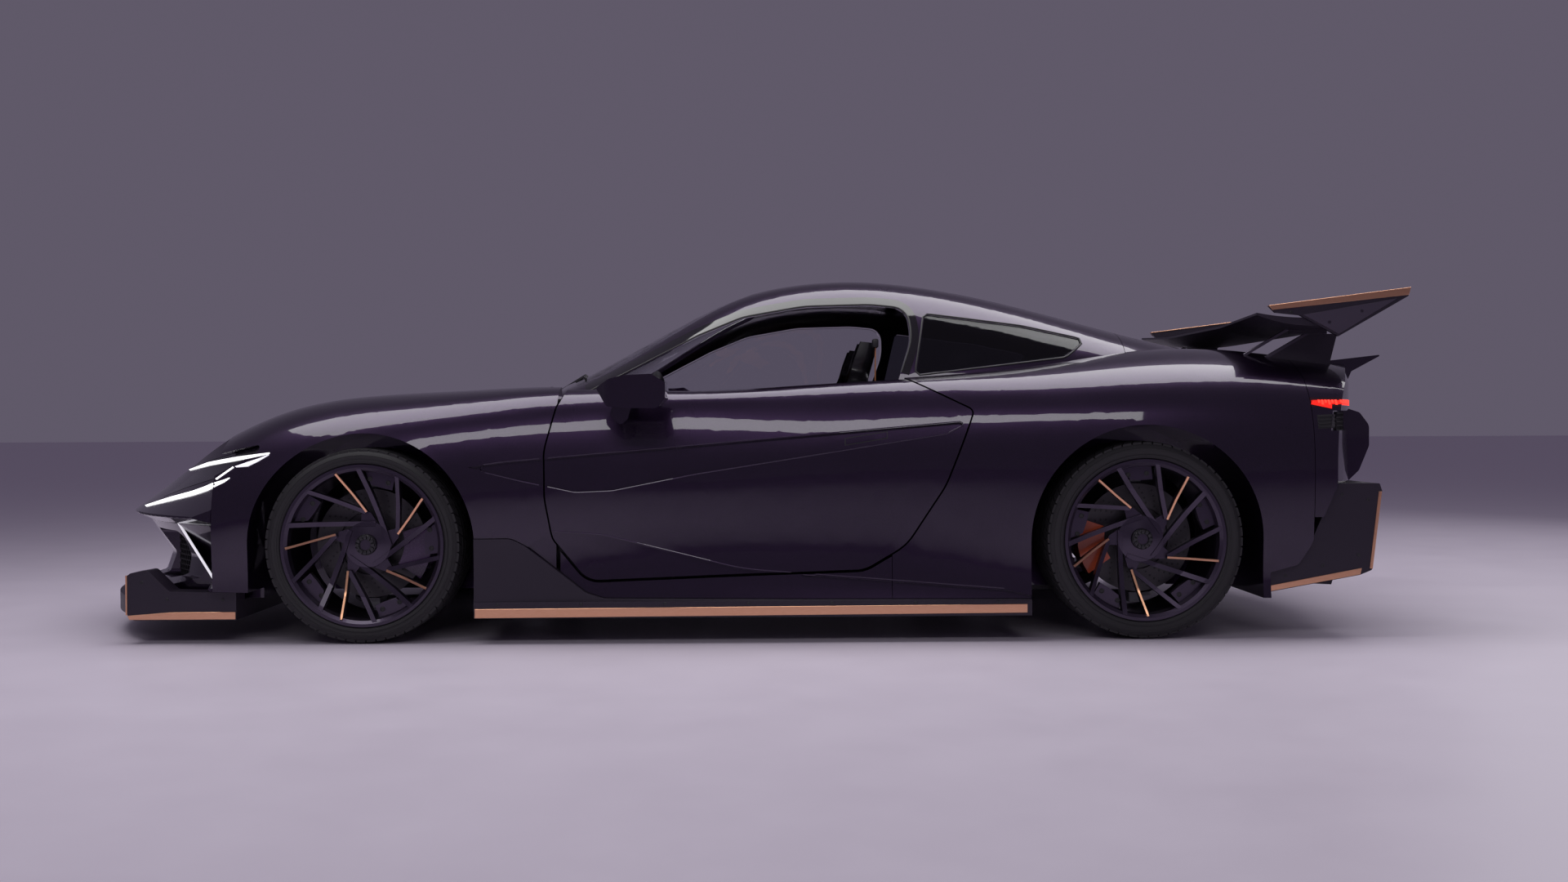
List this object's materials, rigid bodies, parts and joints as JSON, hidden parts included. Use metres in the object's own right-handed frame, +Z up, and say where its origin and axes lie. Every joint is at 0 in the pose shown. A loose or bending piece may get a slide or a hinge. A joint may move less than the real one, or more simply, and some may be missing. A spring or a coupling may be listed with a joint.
{
  "type": "hypercar",
  "caption": "Two-seat hypercar with a long bonnet, bladed wheels, twin doors, hatch and a tall rear wing; wheels roll, steer and the doors and lids open.",
  "frame": {"origin": "on the ground under the middle of the car", "axes": "-X to the nose, -Y to the driver's side on the left, +Z up"},
  "size_m": [4.992, 2.33, 1.346],
  "materials": {
    "gloss_paint": "gloss metallic, almost black purple",
    "satin_aero": "satin dark grey violet",
    "carbon_tub": "satin carbon fibre",
    "black_mesh": "satin black",
    "lamp_glass": "clear cover over a dark lamp",
    "clear_glass": "lightly tinted",
    "privacy_glass": "grey privacy tint",
    "tail_lamp": "red lens",
    "suspension_metal": "machined",
    "engine_metal": "cast",
    "exhaust_metal": "blued",
    "cabin_trim": "soft touch",
    "cabin_leather": "dark leather",
    "front_caliper": "dark violet",
    "rear_caliper": "orange red",
    "tyre_rubber": "new",
    "wheel_metal": "satin dark violet",
    "disc_iron": "machined faces"
  },
  "bodies": {
    "car": {"cabin_tub": "carbon_tub", "cowl_panel": "gloss_paint", "dashboard": "cabin_trim", "engine_block": "engine_metal", "exhaust_pipes": "exhaust_metal", "front_bumper": "gloss_paint", "front_fenders": "gloss_paint", "front_frame": "carbon_tub", "front_grille": "black_mesh", "front_seats": "cabin_leather", "front_splitter": "satin_aero", "headlamps": "lamp_glass", "quarter_windows": "privacy_glass", "rear_axle": "suspension_metal", "rear_bumper": "gloss_paint", "rear_calipers": "rear_caliper", "rear_deck": "gloss_paint", "rear_diffuser": "satin_aero", "rear_frame": "carbon_tub", "rear_knuckles": "suspension_metal", "rear_quarters": "gloss_paint", "rear_wing": "satin_aero", "roof_frame": "gloss_paint", "side_skirts": "satin_aero", "sill_panels": "gloss_paint", "suspension_arms": "suspension_metal", "tail_lamp": "tail_lamp", "tail_spoiler": "satin_aero", "windscreen": "clear_glass", "wing_supports": "satin_aero"},
    "door_left": {"door_left": "gloss_paint", "mirror_left": "gloss_paint"},
    "door_right": {"door_right": "gloss_paint", "mirror_right": "gloss_paint", "window_right": "clear_glass"},
    "bonnet": {"bonnet": "gloss_paint"},
    "hatch": {"boot_lid": "gloss_paint", "rear_window": "clear_glass"},
    "steering_wheel": {"steering_wheel": "cabin_leather"},
    "steer_left": {"front_knuckle_left": "suspension_metal", "front_caliper_left": "front_caliper"},
    "steer_right": {"front_knuckle_right": "suspension_metal", "front_caliper_right": "front_caliper"},
    "wheel_front_left": {"tyre_front_left": "tyre_rubber", "rim_front_left": "wheel_metal", "brake_disc_front_left": "disc_iron"},
    "wheel_front_right": {"tyre_front_right": "tyre_rubber", "rim_front_right": "wheel_metal", "brake_disc_front_right": "disc_iron"},
    "wheel_rear_left": {"tyre_rear_left": "tyre_rubber", "rim_rear_left": "wheel_metal", "brake_disc_rear_left": "disc_iron"},
    "wheel_rear_right": {"tyre_rear_right": "tyre_rubber", "rim_rear_right": "wheel_metal", "brake_disc_rear_right": "disc_iron"}
  },
  "joints": [
    {"name": "steer_left_turn", "type": "hinge", "parent": "car", "child": "steer_left", "pos_m": [-1.35, -0.79, 0.352], "axis": [0, 0, 1], "range_deg": [-28, 28]},
    {"name": "steer_right_turn", "type": "hinge", "parent": "car", "child": "steer_right", "pos_m": [-1.35, 0.79, 0.352], "axis": [0, 0, 1], "range_deg": [-28, 28]},
    {"name": "spin_front_left", "type": "hinge", "parent": "steer_left", "child": "wheel_front_left", "pos_m": [-1.35, -0.8325, 0.352], "axis": [0, -1, 0], "continuous": true},
    {"name": "spin_front_right", "type": "hinge", "parent": "steer_right", "child": "wheel_front_right", "pos_m": [-1.35, 0.8325, 0.352], "axis": [0, -1, 0], "continuous": true},
    {"name": "spin_rear_left", "type": "hinge", "parent": "car", "child": "wheel_rear_left", "pos_m": [1.477, -0.8125, 0.358], "axis": [0, -1, 0], "continuous": true},
    {"name": "spin_rear_right", "type": "hinge", "parent": "car", "child": "wheel_rear_right", "pos_m": [1.477, 0.8125, 0.358], "axis": [0, -1, 0], "continuous": true},
    {"name": "door_left_hinge", "type": "hinge", "parent": "car", "child": "door_left", "pos_m": [-0.688, -0.982, 0.6], "axis": [0, 0, -1], "range_deg": [0, 65]},
    {"name": "door_right_hinge", "type": "hinge", "parent": "car", "child": "door_right", "pos_m": [-0.688, 0.982, 0.6], "axis": [0, 0, 1], "range_deg": [0, 65]},
    {"name": "bonnet_hinge", "type": "hinge", "parent": "car", "child": "bonnet", "pos_m": [-0.784, 0, 0.935], "axis": [0, 1, 0], "range_deg": [0, 45]},
    {"name": "hatch_hinge", "type": "hinge", "parent": "car", "child": "hatch", "pos_m": [0.832, 0, 1.335], "axis": [0, -1, 0], "range_deg": [0, 45]},
    {"name": "steering_wheel_turn", "type": "hinge", "parent": "car", "child": "steering_wheel", "pos_m": [-0.27, -0.38, 0.81], "axis": [0.948, 0, 0.3183], "range_deg": [-340, 340]}
  ],
  "couplings": [
    {"joint": "steer_right_turn", "follows": "steer_left_turn", "ratio": 1},
    {"joint": "steering_wheel_turn", "follows": "steer_left_turn", "ratio": 12}
  ]
}
